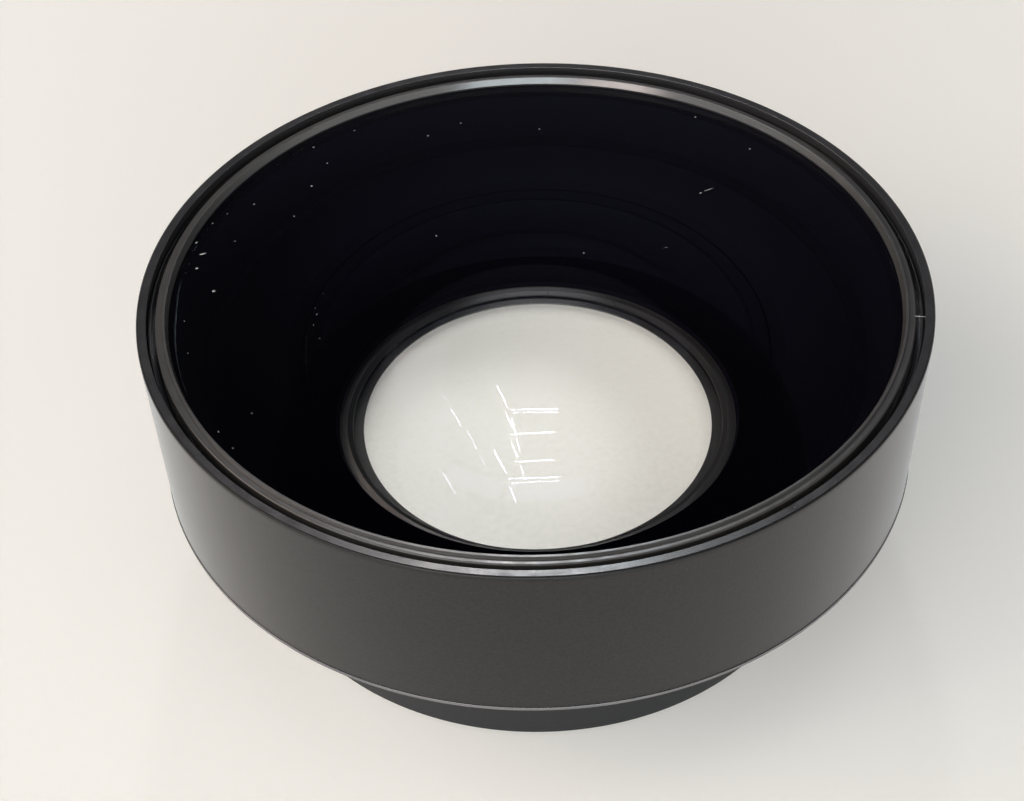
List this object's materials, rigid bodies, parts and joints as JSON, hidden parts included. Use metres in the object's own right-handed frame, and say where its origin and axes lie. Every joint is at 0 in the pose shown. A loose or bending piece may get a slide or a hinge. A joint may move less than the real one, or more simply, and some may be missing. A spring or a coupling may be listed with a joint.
{
  "type": "wide-angle conversion lens",
  "caption": "Round wide-angle conversion lens: a large front glass in a slightly tapered black band, over a narrow neck with a male adapter thread under its skirt.",
  "frame": {"origin": "on the optical axis, at the end of the rear thread, which is the base that the lens stands on", "axes": "+Z along the optical axis, out of the front glass; X and Y are free, because the lens is round; +Y points at the back of the picture, where the sleeve's key pin is"},
  "size_m": [0.072, 0.072, 0.0317],
  "materials": {
    "front_glass": "polished, coated",
    "rear_glass": "polished, coated",
    "band_black": "black anodised, fine matte grain",
    "barrel_black": "black anodised, smooth matte",
    "ring_metal": "black anodised, satin",
    "base_ring_metal": "black anodised, edge turned bright",
    "inner_black": "flat black",
    "rear_ring_metal": "worn satin",
    "cell_metal": "black anodised",
    "shim_metal": "rolled foil",
    "pin_metal": "machined",
    "soft_ring": "matte"
  },
  "bodies": {
    "root": {"front_lens": "front_glass", "front_retaining_ring": "ring_metal", "front_lens_gasket": "soft_ring", "front_seat_shim": "shim_metal", "outer_sleeve": "band_black", "sleeve_cushion_ring": "soft_ring", "sleeve_key_pin": "pin_metal", "main_barrel": "barrel_black", "base_ring": "base_ring_metal", "light_baffle": "inner_black", "baffle_snap_ring": "pin_metal", "cell_seat_shim": "shim_metal", "rear_retaining_ring": "rear_ring_metal", "rear_lens_gasket": "soft_ring", "rear_crown_lens": "rear_glass", "rear_flint_lens": "rear_glass", "rear_lens_cell": "cell_metal", "cell_o_ring": "soft_ring", "cell_lock_screws": "pin_metal"}
  },
  "joints": []
}
